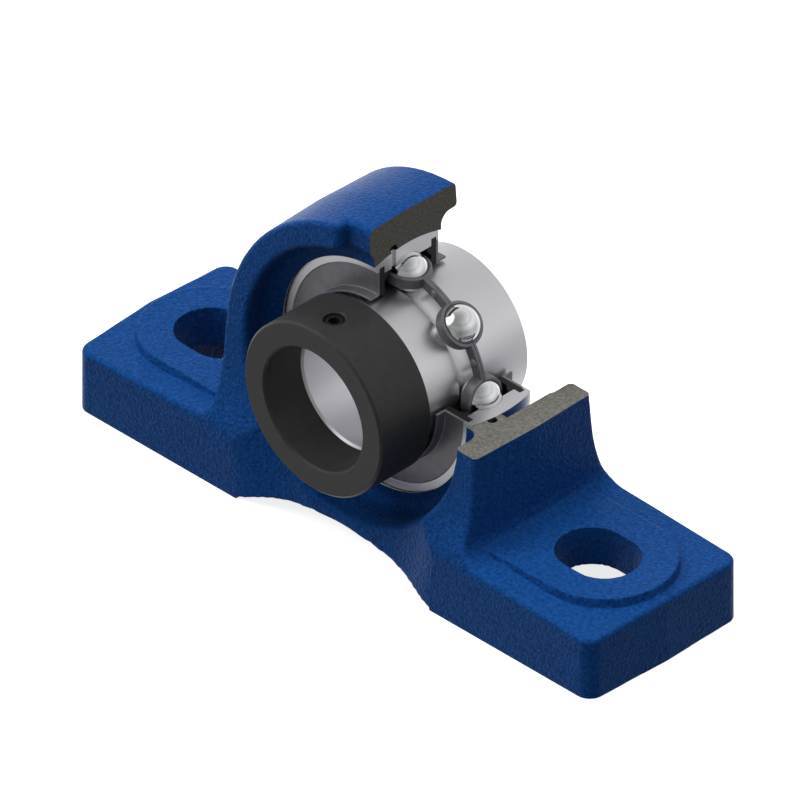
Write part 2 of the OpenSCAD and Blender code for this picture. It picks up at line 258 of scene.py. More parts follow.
def upright(name, section, centre, steps=48):
    """Turns a section of (radius, height) points about a vertical axis at the centre (x, y).

    Heights are above the shaft's axis, and both ends of the section are closed flat.
    """
    angles = 2 * math.pi * np.arange(steps) / steps
    points = [(centre[0] + r * math.cos(a), centre[1] + r * math.sin(a), SHAFT_H + h)
              for a in angles for r, h in section]
    n = len(section)
    faces = [(a * n + i, a * n + i + 1, (a + 1) % steps * n + i + 1, (a + 1) % steps * n + i)
             for a in range(steps) for i in range(n - 1)]
    faces += [tuple(a * n + n - 1 for a in range(steps)),
              tuple(a * n for a in reversed(range(steps)))]
    return mesh_piece(name, points, faces)


# The casting, as a distance field in millimetres: below zero inside, with true round fillets
def blend_union(a, b, r):
    """Both solids together, with a fillet of radius r where they join."""
    return np.maximum(r, np.minimum(a, b)) - np.hypot(np.maximum(r - a, 0), np.maximum(r - b, 0))


def blend_meet(a, b, r):
    """What two solids share, with its edge rounded to radius r."""
    return np.minimum(-r, np.maximum(a, b)) + np.hypot(np.maximum(r + a, 0), np.maximum(r + b, 0))


def blend_cut(a, b, r):
    """The first solid without the second, with the edge rounded to radius r."""
    return blend_meet(a, -b, r)


def casting(p):
    """Distance of points to the skin of the casting, before its machining and the cut quarter."""
    x, y, z = np.abs(p[..., 0]), np.abs(p[..., 1]), p[..., 2]
    above = z - SHAFT_H
    axis = np.hypot(x, above)
    # Arch, side walls and the fillets down to the feet, seen from the front
    arch = ARCH_R - ARCH_DRAFT * y / FACE_HALF
    wall_x = arch + WALL_LEAN * np.clip(-above / (SHAFT_H - FOOT_H), 0, 1)
    wall = np.where(above > 0, axis - arch, x - wall_x)
    foot_top = z - (FOOT_H + FOOT_CROWN * (1 - y / BASE_HALF_W) - FOOT_FALL * (x - FOOT_ROOT))
    front_view = blend_union(wall, foot_top, WALL_FILLET)
    # Front and back faces: they lean in upwards, and sweep out to the feet downwards and endwards
    face = y - (FACE_HALF - FACE_SLOPE * above)
    sweep_down = blend_union(face, z - SWEEP_FLOOR, SWEEP_R)
    sweep_end = blend_union(face, SWEEP_END - x, SWEEP_R)
    side_view = blend_meet(sweep_down, sweep_end, CREASE_R)
    solid = blend_meet(front_view, side_view, FACE_EDGE_R)
    end = x - (BASE_HALF_L - END_DRAFT * y / BASE_HALF_W)
    plan = blend_meet(end, y - BASE_HALF_W, CORNER_R)
    solid = blend_meet(solid, plan, FOOT_EDGE_R)
    solid = np.maximum(solid, -z)
    # Bolt pads, with the wall cut straight above them
    pad_plan = np.hypot(np.maximum(x - SLOT_X - SLOT_RUN, 0), y) - PAD_R
    skirt = (pad_plan - PAD_RUN * np.minimum(PAD_TOP - z, PAD_SKIRT)) / math.hypot(1, PAD_RUN)
    pad = np.maximum(blend_meet(z - PAD_TOP, skirt, PAD_EDGE_R), np.maximum(PAD_INNER - x, -z))
    solid = blend_union(solid, pad, PAD_EDGE_R)
    over_pad = blend_meet(np.maximum(pad_plan, wall_x + PAD_WALL_GAP - x), PAD_TOP - z, PAD_FILLET)
    solid = blend_cut(solid, over_pad, PAD_EDGE_R)
    slot = np.hypot(np.maximum(np.abs(x - SLOT_X) - SLOT_RUN, 0), y) - SLOT_R
    solid = blend_cut(solid, slot, SLOT_EDGE_R)
    # Hollow cored out under each foot
    middle_x = (CORE_FROM + CORE_TO) / 2
    across_x = np.abs(x - middle_x) - (CORE_TO - CORE_FROM) / 2 + CORE_R
    across_y = y - CORE_HALF_W + CORE_R
    core = np.hypot(np.maximum(across_x, 0), np.maximum(across_y, 0)) - CORE_R
    core = np.maximum(core + np.minimum(np.maximum(across_x, across_y), 0), z - CORE_TOP)
    solid = blend_cut(solid, core, SLOT_EDGE_R)
    # Arch under the base
    belly = np.hypot(x, z - BELLY_TOP + BELLY_R) - BELLY_R
    solid = blend_cut(solid, np.maximum(belly, x - FOOT_INNER), BELLY_EDGE_R)
    # Recess round the insert, and the notch in the front rim
    recess = blend_meet(axis - RECESS_R, SEAT_HALF - y, COVE_R)
    solid = blend_cut(solid, recess, RIM_R)
    notch = np.maximum(np.maximum(x - NOTCH_HALF, p[..., 1] + NOTCH_FACE), SEAT_EDGE_R - above)
    return blend_cut(solid, notch, NOTCH_EDGE_R)


def slope(field, p, reach=0.02):
    """Unit normals of a distance field at some points."""
    found = np.empty_like(p)
    for k in range(3):
        shift = np.zeros(3)
        shift[k] = reach
        found[:, k] = field(p + shift) - field(p - shift)
    return found / np.maximum(np.linalg.norm(found, axis=1, keepdims=True), 1e-9)


def skin(field, low, high, step):
    """Meshes a distance field on a grid, with one point in each cell that its skin passes through.

    Each point is fitted to the planes of the skin near it, so edges stay crisp. A weak pull towards
    the middle of those crossings settles it on flat places, and it stays near its cell.
    """
    pull = 0.08
    overhang = 0.1
    axes = [np.arange(lo, hi + step, step) for lo, hi in zip(low, high)]
    grid = np.stack(np.meshgrid(*axes, indexing="ij"), -1)
    value = field(grid)
    shape = np.array(value.shape)
    strides = np.array([shape[1] * shape[2], shape[2], 1])
    flat, nodes = value.ravel(), grid.reshape(-1, 3)
    planes = np.zeros((value.size, 6), np.float32)
    aims = np.zeros((value.size, 3), np.float32)
    middle = np.zeros((value.size, 3), np.float32)
    hits = np.zeros(value.size, np.float32)
    pairs = ((0, 0), (0, 1), (0, 2), (1, 1), (1, 2), (2, 2))
    quads = []
    for k in range(3):
        first = [slice(None)] * 3
        first[k] = slice(0, -1)
        second = [slice(None)] * 3
        second[k] = slice(1, None)
        crossed = np.argwhere((value[tuple(first)] < 0) != (value[tuple(second)] < 0))
        a = crossed @ strides
        b = a + strides[k]
        share = (flat[a] / (flat[a] - flat[b]))[:, None]
        at = nodes[a] * (1 - share) + nodes[b] * share
        normal = slope(field, at)
        at -= normal * field(at)[:, None]
        aim = np.sum(normal * at, axis=1)
        across = [strides[i] for i in range(3) if i != k]
        around = []
        for di, dj in ((0, 0), (1, 0), (1, 1), (0, 1)):
            cell = a - di * across[0] - dj * across[1]
            around.append(cell)
            for i, (m, n) in enumerate(pairs):
                planes[:, i] += np.bincount(cell, normal[:, m] * normal[:, n], value.size)
            for m in range(3):
                aims[:, m] += np.bincount(cell, normal[:, m] * aim, value.size)
                middle[:, m] += np.bincount(cell, at[:, m], value.size)
            hits += np.bincount(cell, minlength=value.size)
        around = np.stack(around, 1)
        # Each face looks out of the solid; about Y, the other two axes turn the other way round
        out = (flat[a] < 0) != (k == 1)
        around[~out] = around[~out][:, ::-1]
        quads.append(around)
    used = np.flatnonzero(hits)
    middle = (middle[used] / hits[used][:, None]).astype(float)
    full = planes[used][:, [0, 1, 2, 1, 3, 4, 2, 4, 5]].reshape(-1, 3, 3) + pull * np.eye(3)
    points = np.linalg.solve(full, (aims[used] + pull * middle)[..., None])[..., 0]
    points = np.clip(points, nodes[used] - overhang * step, nodes[used] + (1 + overhang) * step)
    renumber = np.full(value.size, -1)
    renumber[used] = np.arange(len(used))
    return points, renumber[np.concatenate(quads)]


def build_housing():
    """The casting with its machined seat, and the quarter that the picture shows taken away."""
    # Odd margins keep the flat faces off the grid's planes, and the step keeps the skin under
    # 200,000 triangles
    low = (-BASE_HALF_L - 1.03, -BASE_HALF_W - 1.07, -1.13)
    high = (BASE_HALF_L + 1, BASE_HALF_W + 1, SHAFT_H + ARCH_R + 1)
    grid_step = 0.64
    points, quads = skin(casting, low, high, grid_step)
    points[:, 2] = np.maximum(points[:, 2], 0)
    made = mesh_piece("housing_casting", points, quads.tolist(), CAST_SHARP)
    past = SEAT_HALF + 0.3
    angle = math.degrees(math.asin(SEAT_HALF / SEAT_R))
    seat = [(0, -past, 0), (SEAT_EDGE_R, -past, 0), *arc(0, SEAT_R, -angle, angle, 2),
            (SEAT_EDGE_R, past, 0), (0, past, 0)]
    cut_away(made, turned("seat_cutter", seat))
    inside = 28
    groove = [(inside, GROOVE_HALF, 0), (inside, -GROOVE_HALF, 0),
              *arc(GROOVE_R - GROOVE_HALF, GROOVE_HALF, -90, 90, 15)]
    cut_away(made, turned("groove_cutter", [(r, y - GROOVE_Y) for r, y, _ in groove]))
    past_back = 40
    cut_away(made, block("loading_cutter", (-LOADING_R, LOADING_FROM, SHAFT_H - LOADING_HALF),
                         (LOADING_R, past_back, SHAFT_H + LOADING_HALF)))
    past_end, past_face, past_top = 100, 60, 140
    cut_away(made, block("quarter_cutter", (0, -past_face, SHAFT_H),
                         (past_end, past_face, past_top)))
    smooth(made, CAST_SHARP)
    return made


def sort_faces(mesh):
    """Finish of each face, 0 painted, 1 sawn or 2 turned, with the faces' centres and normals."""
    count = len(mesh.polygons)
    centres, normals = np.empty(count * 3), np.empty(count * 3)
    mesh.polygons.foreach_get("center", centres)
    mesh.polygons.foreach_get("normal", normals)
    centres, normals = centres.reshape(-1, 3) / MM, normals.reshape(-1, 3)
    rise = centres[:, 2] - SHAFT_H
    axis = np.hypot(centres[:, 0], rise)
    near, square_on = 0.01, 0.9
    upright_cut = (np.abs(centres[:, 0]) < near) & (rise > -near) & (normals[:, 0] > square_on)
    level_cut = (np.abs(rise) < near) & (centres[:, 0] > 0) & (normals[:, 2] > square_on)
    inwards = np.stack([-centres[:, 0], -centres[:, 1], -rise], 1)
    distance = np.linalg.norm(inwards, axis=1)
    facing = np.sum(inwards * normals, axis=1) / distance
    seat_band, seat_facing = 0.2, 0.8
    seat = (np.abs(distance - SEAT_R) < seat_band) & (facing > seat_facing)
    groove_from = 30
    groove = (np.abs(centres[:, 1] + GROOVE_Y) < GROOVE_HALF + near)
    groove &= (axis < GROOVE_R + near) & (axis > groove_from)
    return np.where(upright_cut | level_cut, 1, np.where(seat | groove, 2, 0)), centres, normals


def true_normals(mesh, kind, centres, normals):
    """Gives the painted skin the field's own normals, apart from where its faces meet sharply."""
    count, loops = len(mesh.polygons), len(mesh.loops)
    corner = np.empty(loops * 3, np.float32)
    mesh.corner_normals.foreach_get("vector", corner)
    corner = corner.reshape(-1, 3)
    starts, owner = np.empty(count, np.int32), np.empty(loops, np.int32)
    mesh.polygons.foreach_get("loop_start", starts)
    mesh.loops.foreach_get("vertex_index", owner)
    places = np.empty(len(mesh.vertices) * 3)
    mesh.vertices.foreach_get("co", places)
    face_of = np.repeat(np.arange(count), np.diff(np.append(starts, loops)))
    own = slope(casting, places.reshape(-1, 3) / MM)[owner]
    skin_band, same_way = 0.3, 0.87
    cast = (np.abs(casting(centres)) < skin_band) & (kind == 0)
    chosen = cast[face_of] & (np.sum(own * normals[face_of], axis=1) > same_way)
    corner[chosen] = own[chosen]
    mesh.normals_split_custom_set(corner.tolist())


def dress_housing(piece, *finishes):
    """Gives the housing's faces their painted, sawn and turned finishes, and their normals."""
    mesh = piece.data
    mesh.materials.clear()
    for material in finishes:
        mesh.materials.append(material)
    kind, centres, normals = sort_faces(mesh)
    mesh.polygons.foreach_set("material_index", kind.astype(np.int32))
    true_normals(mesh, kind, centres, normals)


# Materials
def linear(code):
    """Linear colour of an sRGB hex value such as "#1A4A90"."""
    parts = [int(code[i:i + 2], 16) / 255 for i in (1, 3, 5)]
    toe, offset, power = 0.04045, 0.055, 2.4
    return tuple(c / 12.92 if c <= toe else ((c + offset) / (1 + offset)) ** power
                 for c in parts) + (1.0,)


def add_node(tree, kind, inputs=(), **settings):
    """Adds a node with its settings; inputs are (socket, value or output socket) pairs."""
    node = tree.nodes.new(kind)
    for name, value in settings.items():
        setattr(node, name, value)
    for socket, value in inputs:
        if isinstance(value, bpy.types.NodeSocket):
            tree.links.new(value, node.inputs[socket])
        else:
            node.inputs[socket].default_value = value
    return node


def new_material(name, **finish):
    """A material with one shader; finish gives the shader's own values by socket name."""
    made = bpy.data.materials.new(name)
    made.use_nodes = True
    tree = made.node_tree
    shader = tree.nodes["Principled BSDF"]
    for socket, value in finish.items():
        shader.inputs[socket.replace("_", " ")].default_value = value
    place = add_node(tree, "ShaderNodeTexCoord").outputs["Object"]
    return made, tree, shader, place


def mottle(tree, place, grain, dark, light, spread=(0.3, 0.7), detail=3.0):
    """A colour that wanders between two, in patches of the given size in millimetres."""
    patches = add_node(tree, "ShaderNodeTexNoise", [
        ("Vector", place), ("Scale", 1 / (grain * MM)), ("Detail", detail), ("Roughness", 0.6)])
    ramp = add_node(tree, "ShaderNodeValToRGB", [("Fac", patches.outputs["Fac"])])
    for stop, at, colour in zip(ramp.color_ramp.elements, spread, (dark, light)):
        stop.position, stop.color = at, linear(colour)
    return ramp.outputs["Color"], patches.outputs["Fac"]


def turning_lines(tree, place, pitch):
    """Rings about the shaft, as a lathe or a grinding wheel leaves them; pitch in millimetres.

    Real ones are a few hundredths of a millimetre apart: they are drawn coarser, so that they show.
    """
    centred = add_node(tree, "ShaderNodeMapping", [
        ("Vector", place), ("Location", (0, 0, -SHAFT_H * MM))])
    parts = add_node(tree, "ShaderNodeSeparateXYZ", [("Vector", centred.outputs["Vector"])])
    flat = add_node(tree, "ShaderNodeCombineXYZ", [
        ("X", parts.outputs["X"]), ("Z", parts.outputs["Z"])])
    radius = add_node(tree, "ShaderNodeVectorMath", [
        (0, flat.outputs["Vector"])], operation="LENGTH")
    lines = add_node(tree, "ShaderNodeCombineXYZ", [
        ("X", radius.outputs["Value"]), ("Y", parts.outputs["Y"])])
    rings = add_node(tree, "ShaderNodeTexNoise", [
        ("Vector", lines.outputs["Vector"]), ("Scale", 1 / (pitch * MM)), ("Detail", 2.0)])
    return rings.outputs["Fac"]


def bump(tree, shader, height, depth):
    """Raises the surface by a height between 0 and 1, times depth in millimetres."""
    raised = add_node(tree, "ShaderNodeBump", [("Height", height), ("Distance", depth * MM)])
    tree.links.new(raised.outputs["Normal"], shader.inputs["Normal"])


def make_paint():
    """Blue machine enamel over a sand-cast skin: satin, with the sand's pebbles showing through."""
    made, tree, shader, place = new_material(
        "blue_enamel_on_cast_iron", Roughness=0.32, Specular_IOR_Level=0.045,
        Specular_Tint=linear("#2F74DD"))
    colour, _ = mottle(tree, place, 0.9, "#103B74", "#1E539B")
    tree.links.new(colour, shader.inputs["Base Color"])
    # Moulding sand is 0.2 to 0.5 mm; it is drawn at 0.6 to 0.9 mm, in clumps, so that it shows
    pebbles = add_node(tree, "ShaderNodeTexVoronoi", [
        ("Vector", place), ("Scale", 1 / (0.7 * MM))], feature="SMOOTH_F1")
    grit = add_node(tree, "ShaderNodeTexNoise", [
        ("Vector", place), ("Scale", 1 / (0.6 * MM)), ("Detail", 2.0), ("Distortion", 0.6)])
    height = add_node(tree, "ShaderNodeMath", [
        (0, pebbles.outputs["Distance"]), (1, grit.outputs["Fac"])], operation="ADD")
    bump(tree, shader, height.outputs["Value"], depth=0.19)
    return made


def make_cut_iron():
    """Grey cast iron as sawn through: matt, brownish grey, speckled by its graphite.

    Graphite flakes are about 0.2 mm: they are drawn at 0.6 mm, so that they show.
    """
    made, tree, shader, place = new_material(
        "sawn_cast_iron", Roughness=0.75, Specular_IOR_Level=0.2)
    colour, fac = mottle(tree, place, 0.6, "#5E5D57", "#7D7C76", spread=(0.35, 0.65))
    tree.links.new(colour, shader.inputs["Base Color"])
    bump(tree, shader, fac, depth=0.04)
    return made


def make_turned_iron():
    """Cast iron turned bright in the seat and its grease groove: grey, with a fine-ringed sheen."""
    made, tree, shader, place = new_material(
        "turned_cast_iron", Roughness=0.35, Metallic=1.0, Base_Color=linear("#A6A6A8"))
    bump(tree, shader, turning_lines(tree, place, pitch=0.25), depth=0.01)
    return made


def make_steel(name, colour, roughness, pitch, depth):
    """Ground or polished steel: it mirrors the studio, blurred by its roughness and faint rings."""
    made, tree, shader, place = new_material(
        name, Roughness=roughness, Metallic=1.0, Base_Color=linear(colour))
    bump(tree, shader, turning_lines(tree, place, pitch), depth)
    return made


def make_rubber():
    """Moulded nitrile rubber: near black and matt."""
    made, tree, shader, place = new_material("black_nitrile_rubber", Roughness=0.65)
    colour, fac = mottle(tree, place, 1.0, "#111112", "#19191A")
    tree.links.new(colour, shader.inputs["Base Color"])
    bump(tree, shader, fac, depth=0.01)
    return made


def make_pressed(name, dark, light, roughness, metallic):
    """Sheet or turned steel under a dull conversion coat, with faint clouds."""
    made, tree, shader, place = new_material(
        name, Roughness=roughness, Metallic=metallic, Specular_IOR_Level=0.35)
    colour, fac = mottle(tree, place, 2.5, dark, light)
    tree.links.new(colour, shader.inputs["Base Color"])
    bump(tree, shader, fac, depth=0.01)
    return made


# The balls are polished too finely for any rings to show, so theirs have no depth
PAINT = make_paint()
CUT_IRON = make_cut_iron()
TURNED_IRON = make_turned_iron()
RING_STEEL = make_steel("ground_ring_steel", "#E2E2E6", roughness=0.38, pitch=0.3, depth=0.004)
BALL_STEEL = make_steel("polished_ball_steel", "#ECEDEE", roughness=0.06, pitch=0.8, depth=0.0)
CAGE_STEEL = make_pressed(
    "phosphated_cage_sheet", "#747479", "#828288", roughness=0.42, metallic=0.7)
RIVET_STEEL = make_pressed("phosphated_rivet", "#88888D", "#98989D", roughness=0.38, metallic=0.7)
PLATE_STEEL = make_pressed("pressed_seal_sheet", "#828187", "#8E8D93", roughness=0.4, metallic=0.7)
RUBBER = make_rubber()
COLLAR_STEEL = make_pressed(
    "black_oxide_collar", "#2A2A2A", "#313130", roughness=0.45, metallic=0.0)
SCREW_STEEL = make_pressed("black_oxide_screw", "#202021", "#2A2A2B", roughness=0.35, metallic=0.3)


def finish_piece(piece, material, body, slot, *nodes):
    """Gives a finished piece its material and its body, and hides the CAD nodes it stands for. The
    slot is not used.
    """
    if material is not None:
        piece.data.materials.clear()
        piece.data.materials.append(material)
    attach(piece, body)
    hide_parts(*nodes)


# Housing
housing = build_housing()
dress_housing(housing, PAINT, CUT_IRON, TURNED_IRON)
finish_piece(housing, None, "housing", "housing_paint", "housing")

# Outer ring: it and the seals lose the same quarter as the housing
CUT_START = 90
CUT_SWEEP = 270
SHOULDER_R = 26.29
SEAL_STEP_R = 27.24
SEAL_STEP_Y = 9.0
SEAL_GROOVE_R = 28.19
SEAL_FLOOR_Y = 7.4
RING_CHAMFER_R = 0.25
RING_CHAMFER_Y = 0.3
STEP_CHAMFER = 0.1
EDGE_R = 0.15
LUBE_HOLE_R = 0.7
LUBE_HOLE_FROM = 23.5
LUBE_HOLE_TO = 35.5
RACE_CENTRE_OUT = PITCH_R + BALL_R + BALL_GAP - RACE_R
outside = math.degrees(math.asin((RING_HALF - RING_CHAMFER_Y) / RING_R))
race_end = math.degrees(math.acos((SHOULDER_R - RACE_CENTRE_OUT) / RACE_R))


def seal_seat(side):
    """Corners of the step and groove that take a seal, from the ring's face inwards."""
    corners = [(RING_R * math.cos(math.radians(outside)) - RING_CHAMFER_R, RING_HALF, 0),
               (SEAL_STEP_R + STEP_CHAMFER, RING_HALF, 0),
               (SEAL_STEP_R, RING_HALF - STEP_CHAMFER, 0), (SEAL_STEP_R, SEAL_STEP_Y, 0),
               (SEAL_GROOVE_R, SEAL_STEP_Y, EDGE_R),
               (SEAL_GROOVE_R, SEAL_FLOOR_Y, EDGE_R), (SHOULDER_R, SEAL_FLOOR_Y, 0.1)]
    return [(r, side * y, b) for r, y, b in (corners if side > 0 else reversed(corners))]


section = (arc(0, RING_R, -outside, outside, step=2) + seal_seat(1)
           + arc(RACE_CENTRE_OUT, RACE_R, race_end, -race_end, step=6) + seal_seat(-1))
outer_ring = turned("bearing_outer_ring", rounded(section), CUT_START, CUT_SWEEP)
lube_hole = [(LUBE_HOLE_R, LUBE_HOLE_FROM), (LUBE_HOLE_R, LUBE_HOLE_TO)]
cut_away(outer_ring, upright("lube_hole_cutter", lube_hole, (0, -GROOVE_Y), steps=32))
smooth(outer_ring, TURNED_SHARP)
settle_normals(outer_ring)
finish_piece(outer_ring, RING_STEEL, "insert", "ring_steel", "outer_ring")

# Inner ring, with its eccentric end inside the collar
BORE_R = 15
BORE_CHAMFER = 0.5
INNER_R = 20.01
INNER_CHAMFER = 0.6
REACH = 18.6
RACE_CENTRE_IN = PITCH_R - BALL_R - BALL_GAP + RACE_R
LAP = -14.0
LAP_CHAMFER = 0.2
ECCENTRIC = 0.8
ECCENTRIC_R = 18.71
ECCENTRIC_CHAMFER = 0.3
inner_end = math.degrees(math.acos((RACE_CENTRE_IN - INNER_R) / RACE_R))
bore_and_back = rounded([
    (BORE_R + BORE_CHAMFER, -REACH, 0), (BORE_R, BORE_CHAMFER - REACH, 0),
    (BORE_R, REACH - BORE_CHAMFER, 0), (BORE_R + BORE_CHAMFER, REACH, 0),
    (INNER_R - INNER_CHAMFER, REACH, EDGE_R), (INNER_R, REACH - INNER_CHAMFER, EDGE_R)])
race = arc(RACE_CENTRE_IN, RACE_R, 180 - inner_end, 180 + inner_end, step=6)
profile = [(r, y, 0, 0) for r, y in bore_and_back] + [(r, y, 0, 0) for r, y, _ in race]
profile += [(INNER_R, LAP + LAP_CHAMFER, 0, 0), (INNER_R - LAP_CHAMFER, LAP, 0, 0),
            (ECCENTRIC_R, LAP, 0, ECCENTRIC),
            (ECCENTRIC_R, ECCENTRIC_CHAMFER - REACH, 0, ECCENTRIC),
            (ECCENTRIC_R - ECCENTRIC_CHAMFER, -REACH, 0, ECCENTRIC)]
inner_ring = turned("bearing_inner_ring", profile)
settle_normals(inner_ring)
finish_piece(inner_ring, RING_STEEL, "sleeve", "ring_steel", "inner_ring")

# Balls
BALL_SEGMENTS = 64
BALL_RINGS = 40
for i in range(BALLS):
    angle = 2 * math.pi * i / BALLS
    name = f"ball_{i + 1}"
    work = bmesh.new()
    bmesh.ops.create_uvsphere(
        work, u_segments=BALL_SEGMENTS, v_segments=BALL_RINGS, radius=BALL_R * MM)
    centre = Vector((PITCH_R * math.cos(angle), 0, SHAFT_H + PITCH_R * math.sin(angle))) * MM
    bmesh.ops.translate(work, verts=work.verts, vec=centre)
    sphere = bpy.data.meshes.new(name)
    work.to_mesh(sphere)
    work.free()
    sphere.shade_smooth()
    ball = bpy.data.objects.new(f"bearing_{name}", sphere)
    bpy.context.scene.collection.objects.link(ball)
    finish_piece(ball, BALL_STEEL, f"{name}_body", "ball_steel", name)


# Cage: one pocket's length of ribbon and one rivet, repeated round the shaft by Geometry Nodes
def round_shaft_tree():
    """Tree that repeats its geometry round the shaft, welds it and gives it its material."""
    tree = bpy.data.node_groups.new("repeat_round_shaft", "GeometryNodeTree")
    for label, kind in (("Geometry", "Geometry"), ("Count", "Int"), ("Start Angle", "Float"),
                        ("Shaft Height", "Float"), ("Finish", "Material")):
        tree.interface.new_socket(label, in_out="INPUT", socket_type=f"NodeSocket{kind}")
    tree.interface.new_socket("Geometry", in_out="OUTPUT", socket_type="NodeSocketGeometry")
    given = add_node(tree, "NodeGroupInput").outputs
    index = add_node(tree, "GeometryNodeInputIndex").outputs["Index"]
    share = add_node(tree, "ShaderNodeMath", [(0, index), (1, given["Count"])], operation="DIVIDE")
    turn = add_node(tree, "ShaderNodeMath", [
        (0, share.outputs["Value"]), (1, 2 * math.pi), (2, given["Start Angle"])],
        operation="MULTIPLY_ADD")
    # A positive turn about +Y dips +X, and the angles here rise from +X
    dip = add_node(tree, "ShaderNodeMath", [
        (0, turn.outputs["Value"]), (1, -1.0)], operation="MULTIPLY")
    rotation = add_node(tree, "ShaderNodeCombineXYZ", [("Y", dip.outputs["Value"])])
    place = add_node(tree, "ShaderNodeCombineXYZ", [("Z", given["Shaft Height"])])
    points = add_node(tree, "GeometryNodePoints", [
        ("Count", given["Count"]), ("Position", place.outputs["Vector"])])
    copies = add_node(tree, "GeometryNodeInstanceOnPoints", [
        ("Points", points.outputs[0]), ("Instance", given["Geometry"]),
        ("Rotation", rotation.outputs["Vector"])])
    real = add_node(tree, "GeometryNodeRealizeInstances", [("Geometry", copies.outputs[0])])
    welded = add_node(tree, "GeometryNodeMergeByDistance", [
        ("Geometry", real.outputs[0]), ("Distance", WELD)])
    finished = add_node(tree, "GeometryNodeSetMaterial", [
        ("Geometry", welded.outputs[0]), ("Material", given["Finish"])])
    add_node(tree, "NodeGroupOutput", [("Geometry", finished.outputs[0])])
    return tree


def repeat_round_shaft(piece, tree, start, material):
    """Runs the tree on a piece that was made round the origin, and keeps the plain mesh."""
    values = {"Count": BALLS, "Start Angle": math.radians(start), "Shaft Height": SHAFT_H * MM,
              "Finish": material}
    repeat = piece.modifiers.new("round the shaft", "NODES")
    repeat.node_group = tree
    for item in tree.interface.items_tree:
        if item.in_out == "INPUT" and item.name in values:
            repeat[item.identifier] = values[item.name]
    bake_modifiers(piece)
    face_outwards(piece.data)
    smooth(piece, CAGE_SHARP)
    settle_normals(piece)


# Ribbon's inner and outer radius, sheet and play round a ball; both halves all but touch
POCKET_GAP = 0.08
SHEET = 0.75
RIBBON = (22.05, 24.75)
HALF_GAP = 0.005
EDGE_BREAK = 0.12
WEB_STEPS = 3
POCKET_STEPS = 16
HALF_PITCH = math.pi / BALLS


def ribbon_rim(rho, share, radius, flat):
    """Angle and height of one skin of the ribbon at a radius from the shaft.

    The share runs from 0 at the pocket's top to 1 where the pocket meets the flat, and on to 2
    at the middle of the web.
    """
    steep = math.acos(flat / radius)
    off = rho - PITCH_R
    along = min(share, 1)
    reach = (radius * math.sin(steep)) ** 2 - off ** 2
    distance = math.sqrt(off ** 2 + reach * (math.sin(steep * along) / math.sin(steep)) ** 2)
    angle = math.acos(min(1, (rho ** 2 + PITCH_R ** 2 - distance ** 2) / (2 * rho * PITCH_R)))
    height = math.sqrt(max(radius ** 2 - distance ** 2, flat ** 2))
    if share > 1:
        angle += (HALF_PITCH - angle) * (share - 1)
    return angle, height


def cage_pocket(name, side):
    """One pocket of half a cage, from web to web, round the origin; side -1 is the front half."""
    inner, outer = RIBBON
    middle = (inner + outer) / 2
    share_break = EDGE_BREAK / SHEET
    loop = [(inner + EDGE_BREAK, 0), (inner, share_break), (inner, 1 - share_break),
            (inner + EDGE_BREAK, 1), (middle, 1), (outer - EDGE_BREAK, 1), (outer, 1 - share_break),
            (outer, share_break), (outer - EDGE_BREAK, 0), (middle, 0)]
    shares = [k / POCKET_STEPS for k in range(POCKET_STEPS)]
    shares += [1 + k / WEB_STEPS for k in range(WEB_STEPS + 1)]
    stations = [(-1, s) for s in reversed(shares)] + [(1, s) for s in shares[1:]]
    points = []
    for hand, share in stations:
        for rho, through in loop:
            low = ribbon_rim(rho, share, BALL_R + POCKET_GAP, HALF_GAP)
            high = ribbon_rim(rho, share, BALL_R + POCKET_GAP + SHEET, SHEET)
            angle = hand * (low[0] + (high[0] - low[0]) * through)
            height = side * (low[1] + (high[1] - low[1]) * through)
            points.append((rho * math.cos(angle), height, rho * math.sin(angle)))
    n = len(loop)
    faces = [(a * n + i, a * n + (i + 1) % n, (a + 1) * n + (i + 1) % n, (a + 1) * n + i)
             for a in range(len(stations) - 1) for i in range(n)]
    return mesh_piece(name, points, faces)


REPEAT = round_shaft_tree()
for end, side in (("front", -1), ("back", 1)):
    half_cage = cage_pocket(f"cage_{end}_half", side)
    repeat_round_shaft(half_cage, REPEAT, 0, CAGE_STEEL)
    finish_piece(half_cage, None, "cage", "cage_steel", f"cage_{end}")

RIVET_STEPS = 32
RIVET_AXIS_R = sum(RIBBON) / 2
SHANK_R = 0.59
UNDER_HEAD = SHEET + HALF_GAP
HEAD = [(0.0, 1.2), (0.3, 1.185), (0.6, 1.12), (0.85, 1.0), (1.0, 0.86), (1.05, UNDER_HEAD),
        (SHANK_R, UNDER_HEAD)]


def cage_rivet(name):
    """One rivet with a round head at each end, turned about its own axis and placed in a web."""
    outline = HEAD + [(r, -y) for r, y in reversed(HEAD)]
    points = []
    for k in range(RIVET_STEPS):
        turn = 2 * math.pi * k / RIVET_STEPS
        points += [(RIVET_AXIS_R + r * math.cos(turn), y, r * math.sin(turn)) for r, y in outline]
    n = len(outline)
    faces = []
    for a in range(RIVET_STEPS):
        b = (a + 1) % RIVET_STEPS
        faces += [(a * n + i, a * n + i + 1, b * n + i + 1, b * n + i) for i in range(n - 1)]
    return mesh_piece(name, points, faces)


rivets = cage_rivet("cage_rivet_set")
repeat_round_shaft(rivets, REPEAT, math.degrees(HALF_PITCH), RIVET_STEEL)
finish_piece(rivets, None, "cage", "rivet_steel", "cage_rivets")

